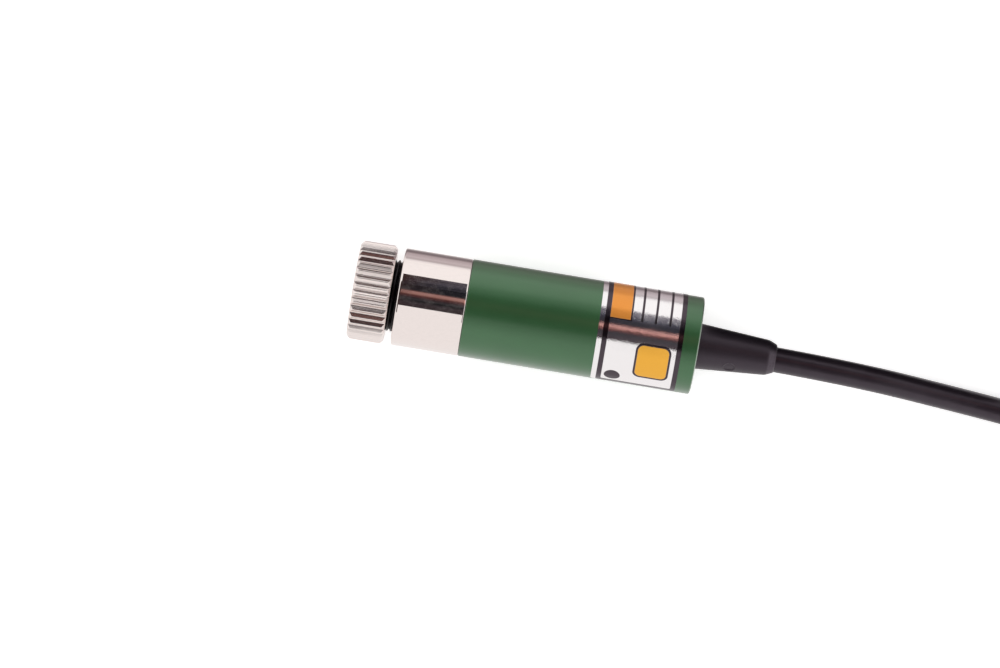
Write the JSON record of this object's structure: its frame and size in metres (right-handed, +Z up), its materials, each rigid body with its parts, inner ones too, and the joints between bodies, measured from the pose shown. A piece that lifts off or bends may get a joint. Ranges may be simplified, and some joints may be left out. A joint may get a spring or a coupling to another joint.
{
  "type": "laser diode module",
  "caption": "Slim round laser module with a fluted focus ring in front, a green tube, a moulded strain relief and a thin cable ending in stripped cores.",
  "frame": {"origin": "on the optical axis, halfway along the body between its front shoulder and its back wall", "axes": "-X is the way the beam leaves, +X points to the cable, +Z is up as the module lies on its side"},
  "size_m": [0.1412, 0.0264, 0.0118],
  "materials": {
    "plated_ring": "bright nickel plate",
    "plated_barrel": "bright nickel plate",
    "black_cell": "black anodised",
    "lens_glass": "coated glass",
    "washer_plastic": "plain",
    "spring_steel": "drawn wire",
    "gold_plate": "gold plated",
    "can_steel": "drawn",
    "brass": "turned",
    "board_green": "solder mask",
    "chip_black": "moulded",
    "capacitor_yellow": "moulded",
    "solder": "bright",
    "sleeve_plastic": "plain",
    "green_anodised": "satin anodised",
    "silver_foil": "bright foil with printed fields",
    "boot_rubber": "matte moulded",
    "red_insulation": "smooth",
    "black_insulation": "smooth",
    "cable_jacket": "soft gloss",
    "tie_plastic": "soft gloss"
  },
  "bodies": {
    "housing": {"front_barrel": "plated_barrel", "diode_base": "gold_plate", "diode_cap": "can_steel", "diode_window": "lens_glass", "diode_mount_block": "gold_plate", "diode_pins": "gold_plate", "diode_clamp_ring": "brass", "driver_board": "board_green", "driver_chip": "chip_black", "driver_resistors": "chip_black", "driver_capacitor": "capacitor_yellow", "protection_diode": "chip_black", "solder_joints": "solder", "insulating_sleeve": "sleeve_plastic", "housing_tube": "green_anodised", "label_foil": "silver_foil", "strain_relief": "boot_rubber", "red_lead": "red_insulation", "black_lead": "black_insulation", "cable": "cable_jacket", "cable_hank": "cable_jacket", "hank_tie": "tie_plastic", "red_core_end": "red_insulation", "black_core_end": "black_insulation"},
    "focus_slide": {"slip_washer": "washer_plastic", "focus_spring": "spring_steel"},
    "focus_head": {"focus_ring": "plated_ring", "lens_barrel": "black_cell", "collimating_lens": "lens_glass", "lens_retainer": "black_cell"}
  },
  "joints": [
    {"name": "focus_travel", "type": "slide", "parent": "housing", "child": "focus_slide", "axis": [1, 0, 0], "range_m": [-0.001, 0.0008], "deforming": ["focus_spring"]},
    {"name": "focus_turn", "type": "hinge", "parent": "focus_slide", "child": "focus_head", "pos_m": [0, 0, 0], "axis": [1, 0, 0], "range_deg": [-720, 576]}
  ],
  "couplings": [
    {"joint": "focus_travel", "follows": "focus_turn", "m_per_rad": 0.000079577}
  ]
}
